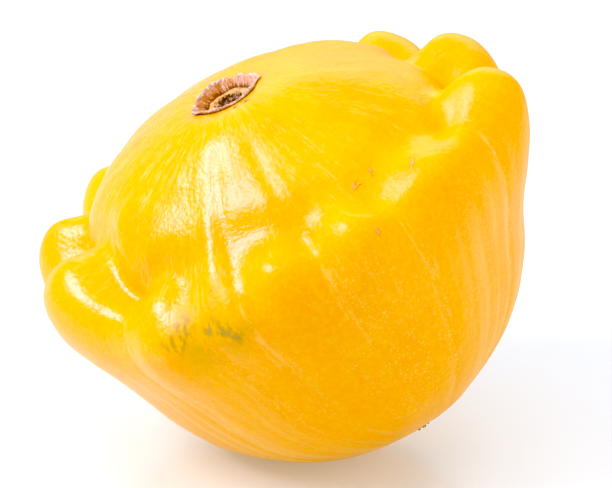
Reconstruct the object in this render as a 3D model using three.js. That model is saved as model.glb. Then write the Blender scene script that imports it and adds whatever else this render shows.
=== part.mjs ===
// A pattypan squash: a round stem dome, a ring of knuckled lobes and a deep blossom half.
// It lies on the curve of its blossom half, with the stem end leaning to -X.
//
// Millimetres, +Z up. The origin is on the surface that the fruit rests on, under its middle.
//
// The fruit is worked out in a frame of its own, whose +Z runs from the blossom end to the stem
// end through the widest level. A place on the skin has two angles in degrees: "turn" goes round
// that axis from +X, and "fall" goes down from 0 at the stem to 180 at the blossom end.

import * as THREE from "three";

// How the fruit lies.
const LEAN = 28; // degrees that the stem end leans from upright, towards -X
const REST_DEPTH = 0.8; // how far the skin is pressed flat where the fruit lies on it

// The body under the lobes: a rounded dome over a deeper bowl.
const RADIUS = 55; // at the widest level
const DOME_HEIGHT = 0.8 * RADIUS; // from the widest level up to the stem
const BOWL_DEPTH = 1.04 * RADIUS; // from the widest level down to the blossom end
const DOME_POWER = 2.1; // 2 is an ellipse, more is boxier
const BOWL_POWER = 2.1;
const OVAL = 0.04; // the body is this share longer one way and shorter across
const OVAL_TURN = -35; // the turn of the longer way

// The two ends sit off the body's middle. Each has its place, how many degrees its level tilts
// that way, and the radii between which the skin eases from that level into the body.
const STEM_END = { place: [4, -14], tilt: 9, level: [10, 28] };
const BLOSSOM_END = { place: [6, -10], tilt: 10, level: [2, 6] };
const LEVEL_ROUND = 30; // the radius at which those levels curve away outside their first radii
const STEM_PULL = 90; // the fall down to which the skin is drawn over to the stem's place
const BLOSSOM_PULL = 112; // the fall from which it is drawn over to the blossom's

// The kinds of lobe. reach is outwards and lift is towards the stem, in mm; fall is where its crest
// lies; knob is how far its knuckle stands proud; web is the share of it that fills the creases;
// soft rounds them; arch is how many degrees nearer the stem its middle starts than its creases
// do; slope is how many degrees its stem side takes to fall away; valley is the depth of the ring
// valley above it.
const KINDS = {
  knuckle: {
    reach: 9, lift: 9, fall: 78, knob: 2, web: 0.4, soft: 0.3, arch: 10, slope: 9, valley: 3,
  },
  corner: {
    reach: 13, lift: 11, fall: 80, knob: 2, web: 0.5, soft: 0.3, arch: 7, slope: 7, valley: 1,
  },
  broad: {
    reach: 10, lift: 3, fall: 84, knob: 2, web: 0.8, soft: 0.4, arch: 10, slope: 8, valley: 2,
  },
  lump: {
    reach: 6, lift: 5, fall: 84, knob: 3, web: 0.7, soft: 0.8, arch: 4, slope: 10, valley: 1,
  },
  plain: {
    reach: 8, lift: 0, fall: 80, knob: 0, web: 1, soft: 1, arch: 4, slope: 12, valley: 0,
  },
};
// The ring of lobes: the kind of each one and how many degrees wide it is, from the first crease on.
const FIRST_CREASE = -5;
const RING = [
  ["knuckle", 35], ["knuckle", 35], ["knuckle", 30], ["knuckle", 30], ["knuckle", 30],
  ["knuckle", 25], ["knuckle", 45], ["broad", 25], ["plain", 10], ["lump", 20],
  ["lump", 20], ["lump", 30], ["corner", 25],
];
const WEB_BELOW = 0.85; // share of a lobe that fills the creases well below the crests
const WEB_START = -5; // degrees below the crest where the creases begin to fill
const WEB_LENGTH = 35; // degrees that they take to fill
const TWIST = 5; // degrees that the lobes turn on the way down a quarter of the fruit
const TWIST_FROM = 75; // the fall where the twist is nought
const TWIST_BACK = -0.3; // the least twist, towards the stem, as a share of TWIST
const ARCH_MIDDLE = 0.6; // the height of a lobe's section where the arch is nought
const ARCH_LENGTH = 12; // degrees above the crest where the arch is whole
const REACH_BELOW = 6; // degrees below the crest where a lobe reaches out furthest
const REACH_FADE = { stem: 1.5, blossom: 14 }; // times slope to the stem, degrees to the blossom
const LIFT_FADE = { stem: 1, blossom: 13 }; // the same for the lift
const KNOB_ABOVE = 4; // degrees above the crest where the knuckle is proudest
const KNOB_FADE = 10;
const VALLEY_ABOVE = 1.7; // times slope, above the crest
const VALLEY_FADE = 0.75; // times slope
const BELL_TURN = 8; // degrees over which a bell goes from its one side's width to the other's

// Flat places and hollows of the dome: the turn and fall of each one's middle, the degrees of turn
// and of fall over which it fades, and its depth.
const HOLLOWS = [
  { turn: 260, fall: 45, wide: 40, high: 10, depth: 1.5 },
  { turn: 260, fall: 60, wide: 15, high: 8, depth: 1 },
];

// The stem end and the blossom end.
const GAP = 0.3; // between two pieces that meet
const STUB_RADIUS = 8.1;
const STUB_DEPTH = 3.2; // how deep the stem stub sits in its socket
const STUB_RIM = 0.8; // how far its ragged rim stands above the socket's edge
const STUB_FLOOR = -1.4; // the level of the ledge round its pit
const PIT_RADIUS = 3.3;
const PIT_DEPTH = 1.1; // below that ledge
const TIP_RADIUS = 1.7;
const TIP_LENGTH = 1.3; // how far the dried flower tip stands out of the blossom end
const TIP_DEPTH = 1.2; // how deep it sits in its dimple

// The mesh.
const TURN_STEPS = 96;
const FALL_STEPS = 40;
const LATHE_STEPS = 40;

const SKIN = new THREE.MeshStandardMaterial({ color: 0xfbbb10, roughness: 0.3, metalness: 0 });
const CORK = new THREE.MeshStandardMaterial({ color: 0xb27a5e, roughness: 0.9, metalness: 0 });
const DRY = new THREE.MeshStandardMaterial({ color: 0x4a3422, roughness: 0.95, metalness: 0 });

const radians = THREE.MathUtils.degToRad;
const degrees = THREE.MathUtils.radToDeg;
const { clamp, euclideanModulo, lerp } = THREE.MathUtils;

// From 0 to 1 along an S-curve.
function ease(x) {
  return THREE.MathUtils.smoothstep(x, 0, 1);
}

// A bell over the offset in degrees, 1 at nought: its width goes from the first fade to the second
// one as the offset goes from negative to positive, mostly within BELL_TURN degrees.
function bell(offset, [stemSide, blossomSide]) {
  const share = 0.5 + 0.5 * Math.tanh(offset / BELL_TURN);
  return Math.exp(-((offset / lerp(stemSide, blossomSide, share)) ** 2));
}

// How wide each lobe is, and where it starts and has its middle.
const widths = RING.map(([, width]) => width);
const starts = widths.map((_, i) => widths.slice(0, i).reduce((a, b) => a + b, FIRST_CREASE));
const middles = starts.map((start, i) => start + widths[i] / 2);

// The last of the turns in that list that a turn has passed, and how many degrees ago.
function passed(turns, turn) {
  const t = euclideanModulo(turn - turns[0], 360) + turns[0];
  const i = turns.findLastIndex((each) => each <= t);
  return { i, since: t - turns[i] };
}

// The lobes' values at one turn: each value eases from one lobe's middle to the next one's.
function lobesAt(turn) {
  const { i, since } = passed(middles, turn);
  const j = (i + 1) % middles.length;
  const share = ease(since / euclideanModulo(middles[j] - middles[i], 360));
  const [here, next] = [KINDS[RING[i][0]], KINDS[RING[j][0]]];
  const values = Object.keys(here).map((name) => [name, lerp(here[name], next[name], share)]);
  return Object.fromEntries(values);
}

// The height of the lobes' section at one turn: 0 in a crease and 1 at the middle of a lobe.
function section(turn, soft) {
  const { i, since } = passed(starts, turn);
  const arc = Math.hypot(Math.sin((Math.PI * since) / widths[i]), soft) - soft;
  return arc / (Math.hypot(1, soft) - soft);
}

// The body's height at a radius, as a share of its height on the axis.
function heightShare(radius, power) {
  return Math.max(1 - (radius / RADIUS) ** power, 0) ** (1 / power);
}

// The frame of an end's tilted level: its middle on the body, and +Z along the fruit's own.
function endFrame({ place: [x, y], tilt }, height, power) {
  const distance = Math.hypot(x, y);
  const side = Math.sign(height);
  const sine = (side * Math.sin(radians(tilt))) / distance;
  const normal = new THREE.Vector3(x * sine, y * sine, Math.cos(radians(tilt)));
  const xWay = new THREE.Vector3(1, 0, 0).projectOnPlane(normal).normalize();
  const yWay = new THREE.Vector3().crossVectors(normal, xWay);
  return new THREE.Matrix4()
    .makeBasis(xWay, yWay, normal)
    .setPosition(x, y, height * heightShare(distance, power));
}

const stemFrame = endFrame(STEM_END, DOME_HEIGHT, DOME_POWER);
const blossomFrame = endFrame(BLOSSOM_END, -BOWL_DEPTH, BOWL_POWER);

// A point over an end's tilted level.
function onLevel(frame, radius, turn, z) {
  const a = radians(turn);
  return new THREE.Vector3(radius * Math.cos(a), radius * Math.sin(a), z).applyMatrix4(frame);
}

// How far the knuckles, the ring valley and the hollows move the skin outwards at a place.
function pushAt(turn, fall, lobe, crown, below, arched) {
  const knob = lobe.knob * crown * bell(below + KNOB_ABOVE, [KNOB_FADE, KNOB_FADE]);
  const aboveValley = arched + VALLEY_ABOVE * lobe.slope;
  const valley = lobe.valley * Math.exp(-((aboveValley / (VALLEY_FADE * lobe.slope)) ** 2));
  let push = knob - valley;
  for (const hollow of HOLLOWS) {
    const aside = (euclideanModulo(turn - hollow.turn + 180, 360) - 180) / hollow.wide;
    const beneath = (fall - hollow.fall) / hollow.high;
    push -= hollow.depth * Math.exp(-(aside ** 2) - beneath ** 2);
  }
  return push;
}

// A point of the skin in the fruit's own frame.
function skinPoint(turn, fall) {
  const down = Math.cos(radians(fall));
  const out = Math.abs(Math.sin(radians(fall)));
  const side = Math.sign(down);
  const height = down > 0 ? DOME_HEIGHT : BOWL_DEPTH;
  const power = down > 0 ? DOME_POWER : BOWL_POWER;
  const across = out / RADIUS;
  const along = Math.abs(down) / height;
  const size = (across ** power + along ** power) ** (-1 / power);

  // The way out of the body here, for what stands proud of it.
  const normal = new THREE.Vector2(
    across ** (power - 1) / RADIUS,
    (side * along ** (power - 1)) / height,
  ).normalize();

  // The body, drawn over to the places of its two ends.
  const stemPull = ease((STEM_PULL - fall) / STEM_PULL);
  const blossomPull = ease((fall - BLOSSOM_PULL) / (180 - BLOSSOM_PULL));
  const plain = size * out;
  const spot = new THREE.Vector2(plain * Math.cos(radians(turn)), plain * Math.sin(radians(turn)))
    .addScaledVector(new THREE.Vector2(...STEM_END.place), stemPull)
    .addScaledVector(new THREE.Vector2(...BLOSSOM_END.place), blossomPull);
  const radius = spot.length();
  const way = spot.angle();
  const sink = heightShare(plain, power) - heightShare(radius, power);
  const oval = 1 + OVAL * Math.cos(2 * (way - radians(OVAL_TURN))) * out ** 2;

  // The lobes on it.
  const twisted = turn - TWIST * clamp((fall - TWIST_FROM) / 90, TWIST_BACK, 1);
  const lobe = lobesAt(twisted);
  const crown = section(twisted, lobe.soft);
  const below = fall - lobe.fall;
  const web = lerp(lobe.web, WEB_BELOW, ease((below - WEB_START) / WEB_LENGTH));
  const share = lerp(web, 1, crown);
  const arched = below + lobe.arch * (crown - ARCH_MIDDLE) * ease(-below / ARCH_LENGTH);
  const reachFade = [REACH_FADE.stem * lobe.slope, REACH_FADE.blossom];
  const liftFade = [LIFT_FADE.stem * lobe.slope, LIFT_FADE.blossom];
  const reach = lobe.reach * share * bell(arched - REACH_BELOW, reachFade);
  const lift = lobe.lift * share * bell(arched, liftFade);
  const push = pushAt(turn, fall, lobe, crown, below, arched);

  const r = radius * oval + reach + push * normal.x;
  const z = size * down - side * height * sink + lift + push * normal.y;
  const point = new THREE.Vector3(r * Math.cos(way), r * Math.sin(way), z);

  // The level round the stem or the blossom, eased into it.
  const [frame, end] = down > 0 ? [stemFrame, STEM_END] : [blossomFrame, BLOSSOM_END];
  const [inner, outer] = end.level;
  const hold = ease((outer - plain) / (outer - inner));
  const sag = (side * Math.max(plain - inner, 0) ** 2) / (2 * LEVEL_ROUND);
  return point.lerp(onLevel(frame, plain, turn, -sag), hold);
}

// One closed mesh from rings of points between two single end points. Each ring goes
// anticlockwise seen from the first end point.
function closedMesh(firstEnd, rings, lastEnd) {
  const points = [firstEnd, ...rings.flat(), lastEnd];
  const count = rings[0].length;
  const last = points.length - 1;
  const triangles = [];
  const at = (ring, i) => 1 + ring * count + (i % count);
  for (let i = 0; i < count; i += 1) {
    triangles.push(0, at(0, i), at(0, i + 1));
    for (let ring = 0; ring < rings.length - 1; ring += 1) {
      triangles.push(at(ring, i), at(ring + 1, i), at(ring + 1, i + 1));
      triangles.push(at(ring, i), at(ring + 1, i + 1), at(ring, i + 1));
    }
    triangles.push(last, at(rings.length - 1, i + 1), at(rings.length - 1, i));
  }
  const geometry = new THREE.BufferGeometry().setFromPoints(points);
  geometry.setIndex(triangles);
  geometry.computeVertexNormals();
  return geometry;
}

function ring(pointAt) {
  return Array.from({ length: TURN_STEPS }, (_, i) => pointAt((360 * i) / TURN_STEPS));
}

// The fruit's rings: the stem socket's floor, the skin, the blossom dimple's floor.
const socketRadius = STUB_RADIUS + GAP;
const dimpleRadius = TIP_RADIUS + GAP;

function fruitRings() {
  const firstFall = degrees(Math.atan2(socketRadius, DOME_HEIGHT));
  const lastFall = 180 - degrees(Math.atan2(dimpleRadius, BOWL_DEPTH));
  const skin = Array.from({ length: FALL_STEPS + 1 }, (_, i) => {
    const fall = lerp(firstFall, lastFall, i / FALL_STEPS);
    return ring((turn) => skinPoint(turn, fall));
  });
  const socket = ring((turn) => onLevel(stemFrame, socketRadius, turn, -STUB_DEPTH));
  const dimple = ring((turn) => onLevel(blossomFrame, dimpleRadius, turn, TIP_DEPTH));
  return [socket, ...skin, dimple];
}

// How the fruit lies: leaned, then let down until it is pressed flat by REST_DEPTH.
const leaned = new THREE.Matrix4().makeRotationY(-radians(LEAN));

function buildFruit() {
  const socketMiddle = onLevel(stemFrame, 0, 0, -STUB_DEPTH);
  const dimpleMiddle = onLevel(blossomFrame, 0, 0, TIP_DEPTH);
  return closedMesh(socketMiddle, fruitRings(), dimpleMiddle).applyMatrix4(leaned);
}

const fruitGeometry = buildFruit();
fruitGeometry.computeBoundingBox();
const box = fruitGeometry.boundingBox;
const middle = box.getCenter(new THREE.Vector3());
const place = new THREE.Vector3(-middle.x, -middle.y, -(box.min.z + REST_DEPTH));

// Everything below the surface that the fruit rests on is pressed up to it.
function pressFlat(geometry) {
  const position = geometry.getAttribute("position");
  for (let i = 0; i < position.count; i += 1) {
    position.setZ(i, Math.max(position.getZ(i), 0));
  }
  return geometry;
}

function fruit() {
  const geometry = pressFlat(fruitGeometry.translate(place.x, place.y, place.z));
  const mesh = new THREE.Mesh(geometry, SKIN);
  mesh.name = "squash_fruit";
  return mesh;
}

// A turned solid on an end's level, in its place. The profile is a list of [radius, z].
function turned(name, frame, profile, material) {
  const points = profile.map(([radius, z]) => new THREE.Vector2(radius, z));
  const geometry = new THREE.LatheGeometry(points, LATHE_STEPS);
  geometry.rotateX(Math.PI / 2); // the lathe turns about Y
  geometry.applyMatrix4(frame).applyMatrix4(leaned).translate(place.x, place.y, place.z);
  const mesh = new THREE.Mesh(geometry, material);
  mesh.name = name;
  return mesh;
}

// The corky stub of the stem: a rim round a ledge and a pit, sitting in the socket.
function stemStub() {
  const bottom = -STUB_DEPTH + GAP;
  const edge = 0.4; // what its edges are rounded off by
  const pitFloor = STUB_FLOOR - PIT_DEPTH;
  const profile = [
    [0, bottom],
    [STUB_RADIUS - edge, bottom],
    [STUB_RADIUS, bottom + edge],
    [STUB_RADIUS, STUB_RIM - edge],
    [STUB_RADIUS - edge, STUB_RIM],
    [STUB_RADIUS - 2 * edge, STUB_RIM - edge / 2],
    [STUB_RADIUS * 0.75, STUB_FLOOR],
    [PIT_RADIUS + edge, STUB_FLOOR],
    [PIT_RADIUS - edge, pitFloor],
    [0, pitFloor],
  ];
  return turned("stem_stub", stemFrame, profile, CORK);
}

// The dried flower tip: a blunt nub in its dimple.
function blossomTip() {
  const top = TIP_DEPTH - GAP;
  const edge = 0.2; // what its end is rounded off by
  const profile = [
    [0, -TIP_LENGTH],
    [TIP_RADIUS / 2, edge - TIP_LENGTH],
    [TIP_RADIUS - edge, -TIP_LENGTH / 2],
    [TIP_RADIUS, edge],
    [TIP_RADIUS, top],
    [0, top],
  ];
  return turned("blossom_tip", blossomFrame, profile, DRY);
}

const squash = new THREE.Group();
squash.add(fruit(), stemStub(), blossomTip());

export default squash;
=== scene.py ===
"""A pattypan squash lying on its blossom half: the whole fruit, the corky stub of its stem and its
dried flower tip.

The fruit is worked out in millimetres in a frame of its own, whose +Z runs from the blossom end to
the stem end through the widest level. A place on its skin has two angles in degrees: "turn" goes
round that axis from +X, and "fall" goes down from 0 at the stem to 180 at the blossom end.
"""

import bpy
import numpy as np
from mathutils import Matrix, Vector


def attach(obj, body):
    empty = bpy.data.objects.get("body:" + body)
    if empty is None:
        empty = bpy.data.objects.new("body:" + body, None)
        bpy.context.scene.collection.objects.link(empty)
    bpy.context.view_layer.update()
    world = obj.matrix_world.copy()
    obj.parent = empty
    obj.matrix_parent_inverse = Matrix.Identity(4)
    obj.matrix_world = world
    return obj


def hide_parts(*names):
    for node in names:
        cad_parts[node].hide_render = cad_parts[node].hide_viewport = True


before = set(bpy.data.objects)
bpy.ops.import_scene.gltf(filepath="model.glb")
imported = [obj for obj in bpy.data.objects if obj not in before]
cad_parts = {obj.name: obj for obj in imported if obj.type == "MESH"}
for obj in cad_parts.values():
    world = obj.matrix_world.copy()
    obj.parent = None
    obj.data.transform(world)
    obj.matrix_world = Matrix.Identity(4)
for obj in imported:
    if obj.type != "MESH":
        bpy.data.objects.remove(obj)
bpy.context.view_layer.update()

MM = 0.001

# How the fruit lies.
LEAN = 28  # degrees that the stem end leans from upright, towards -X
REST_DEPTH = 0.8  # how far the skin is pressed flat where the fruit lies on it

# The body under the lobes: a rounded dome over a deeper bowl.
RADIUS = 55  # at the widest level
DOME_HEIGHT = 0.8 * RADIUS  # from the widest level up to the stem
BOWL_DEPTH = 1.04 * RADIUS  # from the widest level down to the blossom end
DOME_POWER = 2.1  # 2 is an ellipse, more is boxier
BOWL_POWER = 2.1
OVAL = 0.04  # the body is this share longer one way and shorter across
OVAL_TURN = -35  # the turn of the longer way

# The two ends sit off the body's middle. Each has its place, how many degrees its level tilts
# that way, and the radii between which the skin eases from that level into the body.
STEM_END = {"place": (4, -14), "tilt": 9, "level": (10, 28)}
BLOSSOM_END = {"place": (6, -10), "tilt": 10, "level": (2, 6)}
LEVEL_ROUND = 30  # the radius at which those levels curve away outside their first radii
STEM_PULL = (0, 90)  # the falls between which the skin is drawn over to the stem's place
BLOSSOM_PULL = (180, 112)

# The kinds of lobe. reach is outwards and lift is towards the stem, in mm; fall is where its crest
# lies; knob is how far its knuckle stands proud; web is the share of it that fills the creases;
# soft rounds them; arch is how many degrees nearer the stem its middle starts than its creases do;
# slope is how many degrees its stem side takes to fall away; valley is the depth of the ring
# valley above it; pale is how strongly the crease that it starts at is lined with pale fibres, and
# furrow is how deep that crease carries on up the dome.
KINDS = {
    "knuckle": {
        "reach": 9, "lift": 9, "fall": 78, "knob": 2, "web": 0.4, "soft": 0.3,
        "arch": 10, "slope": 9, "valley": 3, "pale": 0.5, "furrow": 0.3,
    },
    "corner": {
        "reach": 13, "lift": 11, "fall": 80, "knob": 2, "web": 0.5, "soft": 0.3,
        "arch": 7, "slope": 7, "valley": 1, "pale": 0.6, "furrow": 0.2,
    },
    "broad": {
        "reach": 10, "lift": 3, "fall": 84, "knob": 2, "web": 0.8, "soft": 0.4,
        "arch": 10, "slope": 8, "valley": 2, "pale": 0.7, "furrow": 0.3,
    },
    "lump": {
        "reach": 6, "lift": 5, "fall": 84, "knob": 3, "web": 0.7, "soft": 0.8,
        "arch": 4, "slope": 10, "valley": 1, "pale": 0.5, "furrow": 0.3,
    },
    "plain": {
        "reach": 8, "lift": 0, "fall": 80, "knob": 0, "web": 1, "soft": 1,
        "arch": 4, "slope": 12, "valley": 0, "pale": 0, "furrow": 0,
    },
}
# The ring of lobes: the kind of each one and how many degrees wide it is, from the first crease on.
FIRST_CREASE = -5
RING = (
    ("knuckle", 35), ("knuckle", 35), ("knuckle", 30), ("knuckle", 30), ("knuckle", 30),
    ("knuckle", 25), ("knuckle", 45), ("broad", 25), ("plain", 10), ("lump", 20),
    ("lump", 20), ("lump", 30), ("corner", 25),
)
LOBES = {name: [KINDS[kind][name] for kind, _ in RING] for name in KINDS["knuckle"]}
WEB_BELOW = 0.85  # share of a lobe that fills the creases well below the crests
WEB_START = -5  # degrees below the crest where the creases begin to fill
WEB_LENGTH = 35  # degrees that they take to fill
TWIST = 5  # degrees that the lobes turn on the way down a quarter of the fruit
TWIST_FROM = 75  # the fall where the twist is nought
TWIST_BACK = -0.3  # the least twist, towards the stem, as a share of TWIST
ARCH_MIDDLE = 0.6  # the height of a lobe's section where the arch is nought
ARCH_LENGTH = 12  # degrees above the crest where the arch is whole
REACH_BELOW = 6  # degrees below the crest where a lobe reaches out furthest
REACH_FADE = (1.5, 14)  # where the reach fades: times slope towards the stem, degrees towards the blossom
LIFT_FADE = (1, 13)  # the same for the lift
KNOB_ABOVE = 4  # degrees above the crest where the knuckle is proudest
KNOB_FADE = 10
VALLEY_ABOVE = 1.7  # times slope, above the crest
VALLEY_FADE = 0.75  # times slope
BELL_TURN = 8  # degrees over which a bell goes from its one side's width to the other's

# Flat places and hollows of the dome: the turn and fall of each one's middle, the degrees of turn
# and of fall over which it fades, and its depth.
HOLLOWS = (
    {"turn": 260, "fall": 45, "wide": 40, "high": 10, "depth": 1.5},
    {"turn": 260, "fall": 60, "wide": 15, "high": 8, "depth": 1},
)

# The stem end and the blossom end.
GAP = 0.3  # between two pieces that meet
STUB_RADIUS = 8.1
STUB_DEPTH = 3.2  # how deep the stem stub sits in its socket
TIP_RADIUS = 1.7
TIP_DEPTH = 1.2  # how deep the flower tip sits in its dimple

TURN_STEPS = 400
FALL_STEPS = 236


# ---------------------------------------------------------------- shape helpers


def ease(x):
    """From 0 to 1 along an S-curve: 3x^2 - 2x^3, held at its ends."""
    x = np.clip(x, 0, 1)
    return x * x * (3 - 2 * x)


def bell(offset, fades):
    """exp(-(offset / width)^2), where the width goes from the first fade to the second one as the
    offset goes from negative to positive."""
    width = fades[0] + (fades[1] - fades[0]) * (0.5 + 0.5 * np.tanh(offset / BELL_TURN))
    return np.exp(-((offset / width) ** 2))


def lattice_noise(points, cell, seed):
    """Smooth noise from -1 to 1: seeded random numbers at the corners of cubes of that cell size,
    blended between the eight corners round each point along S-curves."""
    table = np.random.default_rng(seed).uniform(-1, 1, (32, 32, 32))
    place = np.asarray(points) / cell
    low = np.floor(place).astype(int)
    share = ease(place - low)
    total = 0
    for corner in np.ndindex(2, 2, 2):
        weight = np.prod(np.where(corner, share, 1 - share), axis=-1)
        x, y, z = np.moveaxis((low + corner) % 32, -1, 0)
        total = total + weight * table[x, y, z]
    return total


# ---------------------------------------------------------------- the skin's shape

widths = np.array([width for _, width in RING], float)
starts = FIRST_CREASE + np.cumsum(widths) - widths
middles = starts + widths / 2


def lobes_at(turn):
    """Each of the lobes' values at those turns: it eases from one lobe's middle to the next one's."""
    t = (turn - middles[0]) % 360 + middles[0]
    i = np.searchsorted(middles, t, side="right") - 1
    j = (i + 1) % len(middles)
    share = ease((t - middles[i]) / ((middles[j] - middles[i]) % 360))
    values = {name: np.array(LOBES[name], float) for name in LOBES}
    return {name: v[i] + (v[j] - v[i]) * share for name, v in values.items()}


def across_lobe(turn):
    """How far across its lobe each turn is, from 0 at one crease to 1 at the next."""
    t = (turn - starts[0]) % 360 + starts[0]
    i = np.searchsorted(starts, t, side="right") - 1
    return (t - starts[i]) / widths[i]


def section(turn, soft):
    """The height of the lobes' section, 0 in a crease and 1 at a lobe's middle: a sine arch whose
    creases are rounded by hypot(sine, soft)."""
    arc = np.hypot(np.sin(np.pi * across_lobe(turn)), soft) - soft
    return arc / (np.hypot(1, soft) - soft)


def height_share(radius, power):
    """The body's height at that radius as a share of its height on the axis: (1 - (r/R)^p)^(1/p)."""
    return np.clip(1 - (radius / RADIUS) ** power, 0, 1) ** (1 / power)


def end_frame(end, height, power):
    """An end's middle point on the body and the three directions of its tilted level."""
    place = np.array(end["place"], float)
    distance = np.hypot(*place)
    middle = np.array([*place, height * height_share(distance, power)])
    towards = np.array([*(place / distance), 0])
    up = np.array([0, 0, np.sign(height)])
    tilt = np.radians(end["tilt"])
    normal = up * np.cos(tilt) + towards * np.sin(tilt)
    normal = normal * np.sign(height)  # the level's +Z, as the fruit's own
    x_way = np.array([1, 0, 0]) - normal * normal[0]
    x_way = x_way / np.linalg.norm(x_way)
    return middle, np.stack([x_way, np.cross(normal, x_way), normal])


STEM_FRAME = end_frame(STEM_END, DOME_HEIGHT, DOME_POWER)
BLOSSOM_FRAME = end_frame(BLOSSOM_END, -BOWL_DEPTH, BOWL_POWER)


def on_level(end, radius, turn, z=0):
    """Points at that radius and height over an end's tilted level."""
    middle, ways = end
    a = np.radians(turn)
    z = np.zeros(np.broadcast(radius, a).shape) + z
    local = np.stack([radius * np.cos(a) + 0 * z, radius * np.sin(a) + 0 * z, z], -1)
    return middle + local @ ways


def skin(turn, fall):
    """The smooth skin at those turns and falls, and what the relief and the colours go by.

    The body is a dome and a bowl, each a superellipse: size = ((out/R)^p + (|down|/H)^p)^(-1/p).
    Near each end it is drawn over to that end's place and eased into its level. The lobes push it
    outwards (reach) and towards the stem (lift) by bells over the degrees below their crests, each
    times the lobes' section, and their knuckles and the ring valley move it along its normal."""
    down = np.cos(np.radians(fall))
    out = np.abs(np.sin(np.radians(fall)))
    height = np.where(down > 0, DOME_HEIGHT, BOWL_DEPTH)
    power = np.where(down > 0, DOME_POWER, BOWL_POWER)
    across = out / RADIUS
    along = np.abs(down) / height
    size = (across**power + along**power) ** (-1 / power)
    normal_out = across ** (power - 1) / RADIUS
    normal_up = np.sign(down) * along ** (power - 1) / height
    length = np.hypot(normal_out, normal_up)
    normal_out, normal_up = normal_out / length, normal_up / length

    stem_pull = ease((STEM_PULL[1] - fall) / (STEM_PULL[1] - STEM_PULL[0]))
    blossom_pull = ease((fall - BLOSSOM_PULL[1]) / (BLOSSOM_PULL[0] - BLOSSOM_PULL[1]))
    a = np.radians(turn)
    plain = size * out
    x = plain * np.cos(a) + STEM_END["place"][0] * stem_pull + BLOSSOM_END["place"][0] * blossom_pull
    y = plain * np.sin(a) + STEM_END["place"][1] * stem_pull + BLOSSOM_END["place"][1] * blossom_pull
    radius = np.hypot(x, y)
    way = np.arctan2(y, x)
    sink = height_share(plain, power) - height_share(radius, power)
    oval = 1 + OVAL * np.cos(2 * (way - np.radians(OVAL_TURN))) * out**2

    drop = np.clip((fall - TWIST_FROM) / 90, TWIST_BACK, 1)
    twisted = turn - TWIST * drop
    lobe = lobes_at(twisted)
    crown = section(twisted, lobe["soft"])
    below = fall - lobe["fall"]
    web = lobe["web"] + (WEB_BELOW - lobe["web"]) * ease((below - WEB_START) / WEB_LENGTH)
    share = web + (1 - web) * crown
    arched = below + lobe["arch"] * (crown - ARCH_MIDDLE) * ease(-below / ARCH_LENGTH)
    reach_fade = (REACH_FADE[0] * lobe["slope"], REACH_FADE[1])
    lift_fade = (LIFT_FADE[0] * lobe["slope"], LIFT_FADE[1])
    reach = lobe["reach"] * share * bell(arched - REACH_BELOW, reach_fade)
    lift = lobe["lift"] * share * bell(arched, lift_fade)
    knob = lobe["knob"] * crown * bell(below + KNOB_ABOVE, (KNOB_FADE, KNOB_FADE))
    slope = lobe["slope"]
    valley = lobe["valley"] * np.exp(-(((arched + VALLEY_ABOVE * slope) / (VALLEY_FADE * slope)) ** 2))

    push = knob - valley
    for hollow in HOLLOWS:
        aside = ((turn - hollow["turn"] + 180) % 360 - 180) / hollow["wide"]
        beneath = (fall - hollow["fall"]) / hollow["high"]
        push = push - hollow["depth"] * np.exp(-(aside**2) - beneath**2)

    r = radius * oval + reach + push * normal_out
    z = size * down - np.sign(down) * height * sink + lift + push * normal_up
    points = np.stack([r * np.cos(way), r * np.sin(way), z], -1)
    for end, level in ((STEM_FRAME, STEM_END["level"]), (BLOSSOM_FRAME, BLOSSOM_END["level"])):
        side = (down > 0) == (end is STEM_FRAME)
        hold = ease((level[1] - plain) / (level[1] - level[0])) * side
        sag = np.sign(down) * np.maximum(plain - level[0], 0) ** 2 / (2 * LEVEL_ROUND)
        points = points + (on_level(end, plain, turn, -sag) - points) * hold[..., None]
    return points, {"crown": crown, "below": below, "twisted": twisted}


socket_radius = STUB_RADIUS + GAP
dimple_radius = TIP_RADIUS + GAP
first_fall = np.degrees(np.arctan2(socket_radius, DOME_HEIGHT))
last_fall = 180 - np.degrees(np.arctan2(dimple_radius, BOWL_DEPTH))

turns = np.arange(TURN_STEPS) * 360 / TURN_STEPS
falls = np.linspace(first_fall, last_fall, FALL_STEPS + 1)
turn_grid, fall_grid = np.meshgrid(turns, falls)


# ---------------------------------------------------------------- where it lies

lean = np.radians(LEAN)
LEANED = np.array(
    [[np.cos(lean), 0, np.sin(lean)], [0, 1, 0], [-np.sin(lean), 0, np.cos(lean)]]
)  # the fruit's own directions, one a row, in the row frame
smooth, places = skin(turn_grid, fall_grid)
leaned = smooth @ LEANED
low, high = leaned.min((0, 1)), leaned.max((0, 1))
PLACE = np.array([*(-(low + high) / 2)[:2], -(low[2] + REST_DEPTH)])


def in_place(points):
    """Points of the fruit's own frame where they lie in the row frame, still in mm."""
    return points @ LEANED + PLACE


# ---------------------------------------------------------------- meshes


def outwards(points):
    """Unit normals of a grid of points, (ring, step, xyz), that is closed along its steps: the
    cross product of the two ways across each point."""
    along = np.roll(points, -1, axis=1) - np.roll(points, 1, axis=1)
    down = np.gradient(points, axis=0)
    normal = np.cross(down, along)
    return normal / np.linalg.norm(normal, axis=-1, keepdims=True)


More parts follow.
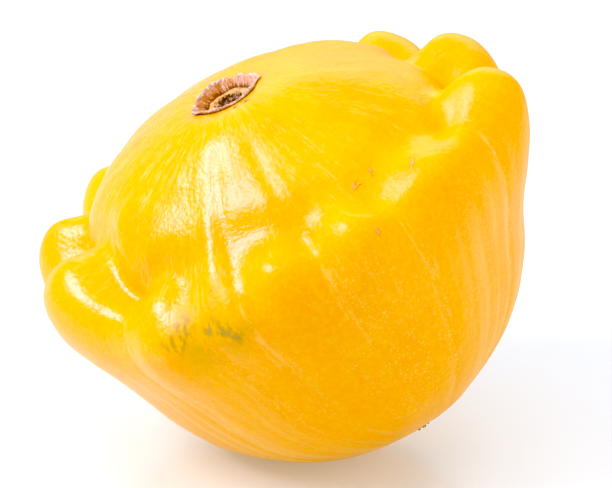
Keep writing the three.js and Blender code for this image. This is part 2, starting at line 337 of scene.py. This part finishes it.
def closed_mesh(name, first, rings, last, fields=None):
    """A closed skin from rings of points, (ring, step, xyz) in mm, between two single end points.
    Each field becomes an attribute: its values on the rings, with its ends' means at the end points."""
    count, steps = rings.shape[:2]
    points = np.concatenate([[first], rings.reshape(-1, 3), [last]]) * MM
    at = 1 + np.arange(count * steps).reshape(count, steps)
    beside = np.roll(at, -1, axis=1)
    quads = np.stack([at[:-1], at[1:], beside[1:], beside[:-1]], -1).reshape(-1, 4)
    top = np.stack([np.zeros(steps, int), at[0], beside[0]], -1)
    bottom = np.stack([np.full(steps, len(points) - 1), beside[-1], at[-1]], -1)
    mesh = bpy.data.meshes.new(name)
    mesh.from_pydata(points.tolist(), [], quads.tolist() + top.tolist() + bottom.tolist())
    mesh.shade_smooth()
    for field, values in (fields or {}).items():
        size = values.shape[2:]
        ends = [values[0].mean(0)[None], values[-1].mean(0)[None]]
        flat = np.concatenate([ends[0], values.reshape(-1, *size), ends[1]])
        kind, slot = ("FLOAT_VECTOR", "vector") if size else ("FLOAT", "value")
        mesh.attributes.new(field, kind, "POINT").data.foreach_set(slot, flat.ravel().astype(np.float32))
    piece = bpy.data.objects.new(name, mesh)
    bpy.context.scene.collection.objects.link(piece)
    return piece


def press_flat(points):
    """Everything below the surface that the fruit rests on is pressed up to it."""
    return np.concatenate([points[..., :2], np.maximum(points[..., 2:], 0)], -1)


def crease_distance(turn, points):
    """How far in mm each place is from the nearest crease, round the fruit's axis."""
    across = across_lobe(turn)
    i = np.searchsorted(starts, (turn - starts[0]) % 360 + starts[0], side="right") - 1
    radius = np.hypot(points[..., 0], points[..., 1])
    return np.minimum(across, 1 - across) * np.radians(widths[i]) * radius


def at_crease(name, turn):
    """A value of the crease that is nearest to each turn."""
    i = np.searchsorted(starts, (turn - starts[0]) % 360 + starts[0], side="right") - 1
    nearest = np.where(across_lobe(turn) < 0.5, i, (i + 1) % len(starts))
    return np.array(LOBES[name])[nearest]


def pale_lining(turn, gap, below, fall):
    """How much pale fibre lines the nearest crease, fading over 4 mm from it and on the dome."""
    near = np.exp(-((gap / 4) ** 2)) * ease((below + 8) / 14) * ease((172 - fall) / 40)
    return at_crease("pale", turn) * near


def grain(turn, fall):
    """Where the skin's fibres run: the turn as a cosine and a sine, and the fall in quarter turns."""
    a = np.radians(turn)
    return np.stack([np.cos(a), np.sin(a), fall / 90], -1)


def relief(points, turn, fall, places):
    """The skin's small relief in mm, outwards: slow and quick unevenness, long soft ribs from the stem
    to the lobes, grooves that run up the dome from the creases, and a narrow one along each crease."""
    fibres = grain(places["twisted"], fall)
    free = ease((fall - first_fall) / 14) * ease((last_fall - fall) / 10)
    uneven = 0.4 * lattice_noise(points, 15, 5) + 0.16 * lattice_noise(points, 6.5, 6)
    ribs = 0.1 * lattice_noise(fibres * (7, 7, 1.2), 1, 7) + 0.03 * lattice_noise(fibres * (17, 17, 3), 1, 8)
    gap = places["crease"]
    on_dome = ease((fall - 24) / 16) * ease(-places["below"] / 12)
    furrow = -at_crease("furrow", places["twisted"]) * np.exp(-((gap / 2.2) ** 2)) * on_dome
    on_bowl = ease((places["below"] + 6) / 12) * ease((168 - fall) / 20)
    groove = -0.3 * np.exp(-((gap / 1.3) ** 2)) * on_bowl
    return (uneven + ribs + furrow + groove) * free


def make_fruit():
    """The skin with its relief, the wall and floor of the stem's socket, and the tip's dimple."""
    places["crease"] = crease_distance(places["twisted"], smooth)
    push = relief(smooth, turn_grid, fall_grid, places)
    skinned = smooth + outwards(smooth) * push[..., None]
    wall = np.linspace(-STUB_DEPTH, 0, 5)[:-1]
    socket = np.stack([on_level(STEM_FRAME, socket_radius, turns, z) for z in wall])
    dimple = on_level(BLOSSOM_FRAME, dimple_radius, turns, TIP_DEPTH)[None]
    rings = press_flat(in_place(np.concatenate([socket, skinned, dimple])))
    first = in_place(on_level(STEM_FRAME, 0, 0, -STUB_DEPTH))
    last = in_place(on_level(BLOSSOM_FRAME, 0, 0, TIP_DEPTH))

    def whole(values):
        """A field on the skin's grid, carried on into the socket and the dimple."""
        return np.concatenate([np.repeat(values[:1], len(wall), 0), values, values[-1:]])

    fields = {
        "grain": whole(grain(places["twisted"], fall_grid)),
        "crease": whole(places["crease"]),
        "pale": whole(pale_lining(places["twisted"], places["crease"], places["below"], fall_grid)),
        "crown": whole(places["crown"]),
        "below": whole(places["below"]),
        "fall": whole(fall_grid),
    }
    return closed_mesh("fruit", first, rings, last, fields)


def profiled(profile, count, steps, rough):
    """A turned piece: a (radius, height) profile resampled evenly along its
    own length, each of its points carried round, and moved by rough(radius, angle, height)."""
    r, z = np.array(profile, float).T
    length = np.concatenate([[0], np.cumsum(np.hypot(np.diff(r), np.diff(z)))])
    at = np.linspace(0, length[-1], count)
    turn = np.arange(steps) * 360 / steps
    radius, angle = np.meshgrid(np.interp(at, length, r), turn, indexing="ij")
    height = np.meshgrid(np.interp(at, length, z), turn, indexing="ij")[0]
    radius, height = rough(radius, angle, height)
    return radius, angle, height


def circle_noise(angle, cells, seed, other=0):
    """Noise round a circle with about that many cells to the radian; other is a second way through it."""
    a = np.radians(angle)
    points = np.stack([np.cos(a) * cells, np.sin(a) * cells, other + 0 * a], -1)
    return lattice_noise(points, 1, seed)


def beside_turn(angle, middle, width):
    """1 at that turn of the stub, fading over that many degrees."""
    off = (angle - middle + 180) % 360 - 180
    return np.exp(-((off / width) ** 2))


STUB_PROFILE = (
    (STUB_RADIUS - 0.1, -STUB_DEPTH + GAP),
    (STUB_RADIUS, -STUB_DEPTH + GAP + 0.1),
    (STUB_RADIUS, -0.4),
    (STUB_RADIUS + 0.1, 0.1),
    (STUB_RADIUS + 0.25, 0.4),
    (STUB_RADIUS + 0.2, 0.7),
    (STUB_RADIUS - 0.1, 0.85),
    (STUB_RADIUS - 0.5, 0.75),
    (7.2, 0.2),
    (6.6, -0.6),
    (6.1, -1.4),
    (5.6, -1.7),
    (5.1, -1.5),
    (4.6, -1.3),
    (3.9, -1.35),
    (3.3, -1.7),
    (2.8, -2.3),
    (2.2, -2.6),
    (1.1, -2.5),
    (0.25, -2.3),
)
TORN_TIPS = (206, 3)  # the turns at which the stub's edge sticks out in a torn tip


def rough_stub(radius, angle, height):
    """The stub's torn edge, the fibres down its bowl and the lumps in its middle, in mm."""
    edge = ease((height - 0.1) / 0.6) * ease((radius - 6.6) / 1.2)
    bowl = ease((7.9 - radius) / 1.0)
    middle = ease((4.2 - radius) / 0.8)
    tear = circle_noise(angle, 3, 21) * 0.5 + circle_noise(angle, 7, 22) * 0.25
    tear = tear + circle_noise(angle, 20, 27) * 0.08
    tips = sum(beside_turn(angle, tip, 9) for tip in TORN_TIPS)
    fibres = circle_noise(angle, 4, 23, radius * 0.8) * 0.35
    fibres = fibres + circle_noise(angle, 14, 24, radius * 2.5) * 0.07
    a = np.radians(angle)
    points = np.stack([radius * np.cos(a), radius * np.sin(a), height], -1)
    lumps = lattice_noise(points, 1.4, 25) * 0.5 + lattice_noise(points, 0.6, 26) * 0.3
    radius = radius + edge * (tear * 0.5 + tips * 1.3)
    height = height + edge * (tear - tips * 0.2) + bowl * fibres + (0.45 * bowl + 0.55 * middle) * lumps
    return np.maximum(radius, 0.1), np.maximum(height, -STUB_DEPTH + GAP)


def make_stub():
    """The corky stub of the stem: a shallow torn cup with a dark pit, seated in its socket."""
    radius, angle, height = profiled(STUB_PROFILE, 96, 320, rough_stub)
    rings = in_place(on_level(STEM_FRAME, radius, angle, height))
    first = in_place(on_level(STEM_FRAME, 0, 0, -STUB_DEPTH + GAP))
    last = in_place(on_level(STEM_FRAME, 0, 0, height[-1].mean()))
    a = np.radians(angle)
    fields = {
        "fibre": np.stack([np.cos(a), np.sin(a), radius / 10], -1),
        "radius": radius,
        "height": height,
    }
    return closed_mesh("stub", first, rings, last, fields)


TIP_PROFILE = (
    (TIP_RADIUS - 0.1, TIP_DEPTH - GAP),
    (TIP_RADIUS, TIP_DEPTH - GAP - 0.1),
    (TIP_RADIUS, 0.2),
    (TIP_RADIUS + 0.15, -0.3),
    (TIP_RADIUS + 0.05, -0.9),
    (TIP_RADIUS - 0.35, -1.0),
    (1.0, -0.5),
    (0.5, -0.45),
    (0.1, -0.6),
)


def rough_tip(radius, angle, height):
    """Five dry petal bases round a hollow, with a torn edge."""
    proud = ease(-height / 0.5)
    petals = 0.22 * np.cos(np.radians(angle * 5)) + 0.3 * circle_noise(angle, 4, 31)
    fibres = 0.1 * circle_noise(angle, 9, 32, radius)
    return radius * (1 + 0.1 * proud * petals), height - proud * (petals * ease(radius / 1.3) + fibres)


def make_tip():
    """The dried base of the flower, seated in its dimple; outwards here is down the fruit's axis."""
    radius, angle, height = profiled(TIP_PROFILE, 40, 120, rough_tip)
    rings = in_place(on_level(BLOSSOM_FRAME, radius, angle, height))[:, ::-1]
    radius, angle, height = radius[:, ::-1], angle[:, ::-1], height[:, ::-1]
    first = in_place(on_level(BLOSSOM_FRAME, 0, 0, TIP_DEPTH - GAP))
    last = in_place(on_level(BLOSSOM_FRAME, 0, 0, height[-1].mean()))
    a = np.radians(angle)
    fields = {"fibre": np.stack([np.cos(a), np.sin(a), radius / 3], -1), "height": -height}
    return closed_mesh("tip", first, rings, last, fields)


# ---------------------------------------------------------------- materials


class Value:
    """A shader socket to reckon with: an expression on values adds its Math nodes."""

    def __init__(self, maker, socket):
        self.maker = maker
        self.socket = socket

    def math(self, operation, *numbers):
        return self.maker.node("ShaderNodeMath", {"operation": operation}, dict(enumerate(numbers)))

    def __add__(self, other):
        return self.math("ADD", self, other)

    def __sub__(self, other):
        return self.math("SUBTRACT", self, other)

    def __rsub__(self, other):
        return self.math("SUBTRACT", other, self)

    def __mul__(self, other):
        return self.math("MULTIPLY", self, other)

    def __pow__(self, other):
        return self.math("POWER", self, other)

    __radd__ = __add__
    __rmul__ = __mul__


class Maker:
    """One material: its nodes, and the few kinds of them that the finishes are made of."""

    def __init__(self, name):
        self.material = bpy.data.materials.new(name)
        self.material.use_nodes = True
        self.tree = self.material.node_tree
        self.shader = self.tree.nodes["Principled BSDF"]

    def node(self, kind, settings=None, inputs=None, output=0):
        """A node of that type: its settings are set first, then its sockets get values or links."""
        made = self.tree.nodes.new(kind)
        for name, value in (settings or {}).items():
            setattr(made, name, value)
        for key, value in (inputs or {}).items():
            self.feed(made.inputs[key], value)
        return Value(self, made.outputs[output])

    def feed(self, socket, value):
        """A socket takes another's link, a colour as red, green, blue, or a number."""
        if isinstance(value, Value):
            self.tree.links.new(value.socket, socket)
        elif socket.type == "RGBA":
            socket.default_value = (*value, 1)
        else:
            socket.default_value = value

    def field(self, name, output="Fac"):
        return self.node("ShaderNodeAttribute", {"attribute_name": name}, output=output)

    def object_place(self):
        return self.node("ShaderNodeTexCoord", output="Object")

    def scaled(self, vector, scale):
        return self.node("ShaderNodeVectorMath", {"operation": "MULTIPLY"}, {0: vector, 1: scale})

    def noise(self, vector, scale, detail=2, roughness=0.5, distortion=0):
        numbers = {"Scale": scale, "Detail": detail, "Roughness": roughness, "Distortion": distortion}
        return self.node("ShaderNodeTexNoise", inputs={"Vector": vector, **numbers})

    def cells(self, vector, scale, jitter=1):
        """The distance from the nearest of scattered points, in cells."""
        inputs = {"Vector": vector, "Scale": scale, "Randomness": jitter}
        return self.node("ShaderNodeTexVoronoi", inputs=inputs)

    def between(self, value, low, high):
        """0 to 1 along an S-curve as the value goes from low to high, which may be the lower one."""
        numbers = {"Value": value, "From Min": low, "From Max": high}
        return self.node("ShaderNodeMapRange", {"interpolation_type": "SMOOTHSTEP"}, numbers)

    def mix(self, share, one, other):
        """One colour turning into the other."""
        colours = {"Factor": share, 6: one, 7: other}
        return self.node("ShaderNodeMix", {"data_type": "RGBA"}, colours, output=2)

    def bump(self, height, distance, under=None):
        """Relief that is that many metres for a height of 1, on top of other relief."""
        inputs = {"Height": height, "Distance": distance, "Strength": 1.0}
        if under is not None:
            inputs["Normal"] = under
        return self.node("ShaderNodeBump", inputs=inputs)

    def spot(self, place, turn, fall, length, width, slant=0, warp=None):
        """How far a place is from a mark on the skin, 1 at its edge: the mark is an ellipsoid of that
        length and width in mm, lying along the skin at that turn and fall, slanted from the meridian."""
        round_turns = np.array([turn, turn + 0.5, turn])
        round_falls = np.array([fall, fall, fall + 0.5])
        here, beside, below = in_place(skin(round_turns, round_falls)[0])
        round_way = (beside - here) / np.linalg.norm(beside - here)
        down_way = (below - here) / np.linalg.norm(below - here)
        c, s = np.cos(np.radians(slant)), np.sin(np.radians(slant))
        along = down_way * c + round_way * s
        across = round_way * c - down_way * s
        middle = tuple(here * MM)
        off = self.node("ShaderNodeVectorMath", {"operation": "SUBTRACT"}, {0: warp or place, 1: middle})
        total = 0
        for way, size in ((along, length / 2), (across, width / 2), (np.cross(along, across), 3 * width)):
            ray = tuple(way / (size * MM))
            dot = {"operation": "DOT_PRODUCT"}
            part = self.node("ShaderNodeVectorMath", dot, {0: off, 1: ray}, output="Value")
            total = part * part + total
        return total ** 0.5

    def warped(self, place, noise_scale, amount):
        """Places moved about by up to half that many metres."""
        inputs = {"Vector": place, "Scale": noise_scale, "Detail": 2}
        shift = self.node("ShaderNodeTexNoise", inputs=inputs, output="Color")
        middle = (0.5, 0.5, 0.5)
        centred = self.node("ShaderNodeVectorMath", {"operation": "SUBTRACT"}, {0: shift, 1: middle})
        moved = self.node("ShaderNodeVectorMath", {"operation": "SCALE"}, {0: centred, "Scale": amount})
        return self.node("ShaderNodeVectorMath", {"operation": "ADD"}, {0: place, 1: moved})

    def finish(self, piece, colour, roughness, normal, **constants):
        """The shader takes the colour, roughness and normal, and the numbers that are the same all over."""
        self.feed(self.shader.inputs["Base Color"], colour)
        self.feed(self.shader.inputs["Roughness"], roughness)
        self.feed(self.shader.inputs["Normal"], normal)
        for name, value in constants.items():
            self.shader.inputs[name.replace("_", " ")].default_value = value
        piece.data.materials.append(self.material)


def scattered(middle, spread, length, width, count, seed):
    """Marks scattered round a middle turn and fall: each one's turn, fall, length, width and slant.
    The lengths and widths, in mm, are drawn from half to one and a half times those given."""
    random = np.random.default_rng(seed)
    turns = middle[0] + random.uniform(-1, 1, count) * spread[0]
    falls = middle[1] + random.uniform(-1, 1, count) * spread[1]
    lengths = length * random.uniform(0.5, 1.5, count)
    breadths = width * random.uniform(0.5, 1.5, count)
    slants = random.uniform(0, 90, count)
    return np.stack([turns, falls, lengths, breadths, slants], -1).tolist()


GREEN_STAINS = scattered(middle=(250, 85), spread=(10, 4), length=5, width=4, count=7, seed=2)
SCABS = scattered(middle=(305, 75), spread=(12, 10), length=1.2, width=4, count=5, seed=5)


def rind(piece):
    """Waxed yellow-orange rind: pale fibres from the stem to the lobes and along the creases, pale
    pores, stained and scabbed places, and the fine dimples that break up its gloss."""
    m = Maker("rind")
    place = m.object_place()
    grain_place = m.field("grain", "Vector")
    crease = m.field("crease")
    fall = m.field("fall")
    below = m.field("below")
    warp = m.warped(place, 300, 0.003)

    fine = m.noise(m.scaled(grain_place, (95, 95, 26)), 1, 2, 0.55)
    ridges = m.noise(m.scaled(grain_place, (70, 70, 22)), 1, 1)
    wisps = m.noise(m.scaled(grain_place, (26, 26, 4)), 1, 5, 0.65, 0.5)
    bands = m.noise(m.scaled(grain_place, (6, 6, 0.9)), 1, 3)
    peel = m.noise(place, 900, 1, 0.5)
    ripples = m.noise(m.scaled(grain_place, (20, 20, 60)), 1, 1.5)
    blotches = m.noise(place, 28, 3)
    mottle = m.noise(place, 190, 4, 0.65)
    grainy = m.noise(place, 620, 2, 0.6)
    round_x = m.node("ShaderNodeSeparateXYZ", inputs={0: grain_place})
    left_side = m.between(round_x, 0.5, -0.4)

    near_stem = m.between(fall, 60, 20)
    on_dome = m.between(below, 4, -16)
    by_crease = m.between(m.field("pale") + (wisps - 0.5) * 0.8, 0.1, 0.9)
    in_band = m.between(bands + (1 - left_side) * 0.08, 0.50, 0.68)
    dome_share = (near_stem * 0.4 + on_dome * 0.3) * (0.3 + left_side * 0.7)
    fibre_share = 0.05 + dome_share + by_crease * 0.6 + in_band * 0.2
    pale_fibre = m.between(fine * 0.65 + wisps * 0.35, 0.50, 0.68) * fibre_share
    pale_wisp = m.between(wisps, 0.50, 0.75) * fibre_share

    yellow, orange = (0.94, 0.45, 0.004), (0.94, 0.37, 0.003)
    cream = m.mix(on_dome, (0.97, 0.60, 0.18), (0.98, 0.68, 0.34))
    # Partly painted shade: the rind is painted oranger below the crests, where the bowl is turned from the
    # light; the blotches are its own uneven tone.
    deep = m.between(blotches * 0.7 + bands * 0.3, 0.38, 0.66) * 0.6 + m.between(below, -18, 24) * 0.4
    colour = m.mix(deep, yellow, orange)
    colour = m.mix(m.between(mottle, 0.45, 0.72) * 0.3, colour, yellow)
    colour = m.mix(m.between(grainy, 0.42, 0.66) * 0.35, colour, (0.95, 0.52, 0.02))
    colour = m.mix(pale_fibre * 0.8, colour, cream)
    colour = m.mix(pale_wisp * 0.4, colour, cream)
    # Pale cream streaks down the bowl, strongest on the left and right sides: partly the rind's own pale
    # fibres, partly painted sheen where the skin turns edge-on to the view.
    streaks = m.noise(m.scaled(grain_place, (15, 15, 1.4)), 1, 5, 0.65)
    side_streaks_and_sheen = m.between(round_x, 0.45, 0.85) * 0.5 + m.between(round_x, -0.2, -0.7) * 0.5
    on_bowl = m.between(below, -4, 22) * (0.04 + side_streaks_and_sheen)
    colour = m.mix((0.2 + m.between(streaks, 0.44, 0.66)) * on_bowl, colour, cream)
    # Painted highlight: the stem sides of the knuckles on the right are painted a lighter yellow where the
    # key light's highlights lie on them.
    painted_knuckle_highlight = m.between(below, -32, -16) * m.between(below, 4, -8) * (1 - left_side)
    colour = m.mix(painted_knuckle_highlight * 0.35, colour, (0.96, 0.50, 0.003))
    ruddy = m.between(m.noise(place, 55, 4, 0.6), 0.46, 0.64) * m.between(below, 0, -14)
    colour = m.mix(ruddy * 0.35, colour, (0.91, 0.34, 0.003))
    # Painted highlight: the lobe at the back left is painted a lighter lemon yellow where the back light's
    # reflection lies.
    back_lobe_painted_highlight = m.between(m.spot(place, 145, 70, 25, 25, 0, warp), 1.2, 0.5)
    colour = m.mix(back_lobe_painted_highlight * 0.5, colour, (0.96, 0.60, 0.03))
    line = m.between(crease + (mottle - 0.5) * 2, 0.7, 0.15) * m.between(fall, 118, 96) * by_crease
    colour = m.mix(line * 0.6, colour, cream)
    pores = m.between(m.cells(place, 1250) + (peel - 0.5) * 0.6, 0.42, 0.16) * m.between(below, -16, 8)
    pores = pores * (0.12 + m.between(mottle, 0.42, 0.62) * 0.3 + in_band * 0.3 + by_crease * 0.4)
    colour = m.mix(pores * 0.7, colour, cream)

    stain = 0
    for turn, low, length, width, slant in GREEN_STAINS:
        stain = m.between(m.spot(place, turn, low, length, width, slant, warp), 1.5, 0.1) + stain
    streaked = m.between(m.noise(m.scaled(grain_place, (60, 60, 30)), 1, 3), 0.36, 0.6)
    stain_share = m.between(stain, 0, 1) * streaked
    bruise = m.between(m.spot(place, 250, 85, 20, 35, 0, warp), 1.15, 0.2) * m.between(mottle, 0.3, 0.65)
    colour = m.mix(bruise * 0.6, colour, (0.62, 0.36, 0.01))
    colour = m.mix(stain_share * 0.75, colour, (0.34, 0.25, 0.06))
    specks = m.between(m.cells(place, 90), 0.06, 0.02) * m.between(blotches, 0.5, 0.6)
    colour = m.mix(specks * 0.6, colour, (0.25, 0.10, 0.02))

    scab = 0
    for turn, low, length, width, slant in SCABS:
        scab = m.between(m.spot(place, turn, low, length, width, slant, warp), 1.15, 0.7) + scab
    scab = m.between(scab, 0, 1) * m.between(peel, 0.38, 0.56)
    colour = m.mix(scab * 0.8, colour, (0.80, 0.38, 0.17))

    collar = m.between(fall + (fine - 0.5) * 8, 16, 13)
    colour = m.mix(collar * 0.4, colour, (0.72, 0.40, 0.10))
    # Painted shadow: a fragmented near-black patch on the skin just under the stub's front right rim.
    rim_painted_shadow = m.between(m.spot(place, 290, 13, 2, 5, 0, warp), 1.1, 0.4)
    rim_painted_shadow = rim_painted_shadow * m.between(grainy, 0.35, 0.5)
    colour = m.mix(rim_painted_shadow * 0.85, colour, (0.08, 0.08, 0.02))
    foot = m.between(fall + (fine - 0.5) * 6, 172.5, 176)
    colour = m.mix(foot * 0.7, colour, (0.48, 0.27, 0.09))

    worn = m.between(m.spot(place, 250, 80, 20, 15, 0, warp), 1.2, 0.7)
    roughness = 0.25 + mottle * 0.08 + pale_fibre * 0.08 + scab * 0.3 + foot * 0.3 + worn * 0.2
    roughness = roughness + (1 - left_side) * 0.12 - on_dome * 0.02
    valley = m.between(below, -34, -20) * m.between(below, -2, -12)
    relief_height = peel * 0.8 + ridges * (0.1 + fibre_share * 0.2)
    relief_height = relief_height + ripples * (0.2 + valley * 0.6) + scab * 1.2
    normal = m.bump(relief_height, 0.00014)
    m.finish(piece, colour, roughness, normal, Specular_IOR_Level=0.75, Specular_Tint=(1, 0.52, 1, 1))


def cork(piece):
    """Torn dry stem: pinkish tan fibres down the cup, a pale edge, a dark line round the cup's foot
    and a purple-brown pit."""
    m = Maker("cork")
    place = m.object_place()
    fibre = m.field("fibre", "Vector")
    radius = m.field("radius")
    height = m.field("height")
    streaks = m.noise(m.scaled(fibre, (14, 14, 9)), 1, 4, 0.65, 0.6)
    broad = m.noise(m.scaled(fibre, (3, 3, 3)), 1, 2)
    crumbs = m.noise(place, 1100, 3, 0.65)

    pinkish = m.between(broad + (m.node("ShaderNodeSeparateXYZ", inputs={0: fibre}) * 0.2), 0.40, 0.66)
    colour = m.mix(pinkish, (0.58, 0.22, 0.12), (0.80, 0.44, 0.36))
    colour = m.mix(m.between(streaks, 0.50, 0.68) * 0.7, colour, (0.95, 0.70, 0.60))
    colour = m.mix(m.between(streaks, 0.48, 0.34) * 0.6, colour, (0.34, 0.10, 0.06))
    floor_share = m.between(radius, 5.8, 5.25)
    floor_colour = m.mix(m.between(crumbs, 0.3, 0.6), (0.62, 0.24, 0.12), (0.95, 0.55, 0.28))
    colour = m.mix(floor_share * 0.8, colour, floor_colour)
    foot = m.between(radius + (streaks - 0.5) * 2, 6.45, 5.9) * m.between(radius, 5.05, 5.6)
    colour = m.mix(foot * 0.9, colour, (0.16, 0.03, 0.02))
    pit = m.between(radius + (crumbs - 0.5) * 2.5, 3.7, 3.0)
    dark = m.mix(m.between(crumbs, 0.46, 0.66), (0.11, 0.03, 0.06), (0.62, 0.36, 0.34))
    colour = m.mix(pit, colour, dark)
    edge = m.between(height + (streaks - 0.5) * 0.8, 0.40, 0.8)
    edge_colour = m.mix(m.between(crumbs, 0.42, 0.56), (0.45, 0.27, 0.32), (0.90, 0.68, 0.58))
    colour = m.mix(edge * 0.8, colour, edge_colour)
    # Painted shade: the stub's outer wall is painted dark towards its foot, where it meets the skin.
    outer = m.between(radius, 7.9, 8.15) * m.between(height, 0.5, 0.1)
    colour = m.mix(outer * 0.8, colour, (0.26, 0.15, 0.10))
    normal = m.bump(streaks + crumbs, 0.0003)
    roughness = 0.72 - pit * 0.3 + crumbs * 0.1
    m.finish(piece, colour, roughness, normal, Specular_IOR_Level=0.4)


def dry_blossom(piece):
    """Dried flower base: dark brown fibres with paler torn edges."""
    m = Maker("dry blossom")
    place = m.object_place()
    fibre = m.field("fibre", "Vector")
    height = m.field("height")
    streaks = m.noise(m.scaled(fibre, (12, 12, 3)), 1, 4, 0.6)
    crumbs = m.noise(place, 2200, 2)
    colour = m.mix(m.between(streaks, 0.35, 0.65), (0.06, 0.03, 0.015), (0.30, 0.17, 0.08))
    colour = m.mix(m.between(height + (crumbs - 0.5) * 0.6, 0.6, 1.1) * 0.7, colour, (0.48, 0.33, 0.18))
    normal = m.bump(streaks + crumbs * 0.5, 0.0002)
    m.finish(piece, colour, 0.75 + crumbs * 0.15, normal, Specular_IOR_Level=0.3)


for make, finish, node, slot in (
    (make_fruit, rind, "squash_fruit", "rind"),
    (make_stub, cork, "stem_stub", "cork"),
    (make_tip, dry_blossom, "blossom_tip", "dry_blossom"),
):
    piece = make()
    finish(piece)
    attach(piece, "root")
    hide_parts(node)


# ---------------------------------------------------------------- floor, light, camera


def make_floor():
    mesh = bpy.data.meshes.new("floor")
    side = 6.0
    corners = [(-side, -side, 0), (side, -side, 0), (side, side, 0), (-side, side, 0)]
    mesh.from_pydata(corners, [], [(0, 1, 2, 3)])
    floor = bpy.data.objects.new("floor", mesh)
    bpy.context.scene.collection.objects.link(floor)
    white = bpy.data.materials.new("floor")
    white.use_nodes = True
    shader = white.node_tree.nodes["Principled BSDF"]
    shader.inputs["Base Color"].default_value = (0.64, 0.68, 0.75, 1)
    shader.inputs["Roughness"].default_value = 0.2
    shader.inputs["Emission Color"].default_value = (1, 1, 1, 1)
    shader.inputs["Emission Strength"].default_value = 0.235
    shader.inputs["Specular IOR Level"].default_value = 0.9
    mesh.materials.append(white)


def soft_box(name, azimuth, elevation, distance, width, height, power):
    """A soft light that faces the fruit. Azimuth is round from the camera's side, + to its right."""
    a, e = np.radians(azimuth), np.radians(elevation)
    away = Vector((np.sin(a) * np.cos(e), -np.cos(a) * np.cos(e), np.sin(e)))
    light = bpy.data.lights.new(name, "AREA")
    light.shape = "RECTANGLE"
    light.size, light.size_y = width, height
    light.energy = power
    lamp = bpy.data.objects.new(name, light)
    bpy.context.scene.collection.objects.link(lamp)
    lamp.location = Vector((0, 0, 0.05)) + away * distance
    lamp.rotation_euler = away.to_track_quat("Z", "Y").to_euler()
    return lamp


make_floor()
soft_box("key", -70, 41, 0.9, 0.42, 0.32, 5.6)
top = soft_box("top", 10, 75, 1.0, 0.8, 0.8, 2.4)
top.visible_glossy = False
fill = soft_box("fill", 75, 20, 1.0, 0.8, 0.8, 2.3)
fill.visible_glossy = False
soft_box("back", 175, 40, 1.1, 1.0, 0.6, 2.8)

world = bpy.data.worlds.new("studio")
bpy.context.scene.world = world
world.use_nodes = True
background = world.node_tree.nodes["Background"]
background.inputs["Color"].default_value = (1, 1, 1, 1)
background.inputs["Strength"].default_value = 0.71

scene = bpy.context.scene
scene.view_settings.view_transform = "Standard"
scene.view_settings.use_curve_mapping = True
scene.view_settings.curve_mapping.black_level = (0.03, 0.03, 0.11)
scene.view_settings.curve_mapping.update()

CAMERA_ELEVATION = 18.5
CAMERA_DISTANCE = 0.65
CAMERA_AIM = Vector((0.007, 0.001, 0.0535))  # a little right of and below the fruit's widest level
camera_data = bpy.data.cameras.new("camera")
camera_data.lens = 153
camera = bpy.data.objects.new("camera", camera_data)
scene.collection.objects.link(camera)
e = np.radians(CAMERA_ELEVATION)
camera.location = CAMERA_AIM + Vector((0, -np.cos(e), np.sin(e))) * CAMERA_DISTANCE
camera.rotation_euler = (np.pi / 2 - e, 0, 0)
scene.camera = camera
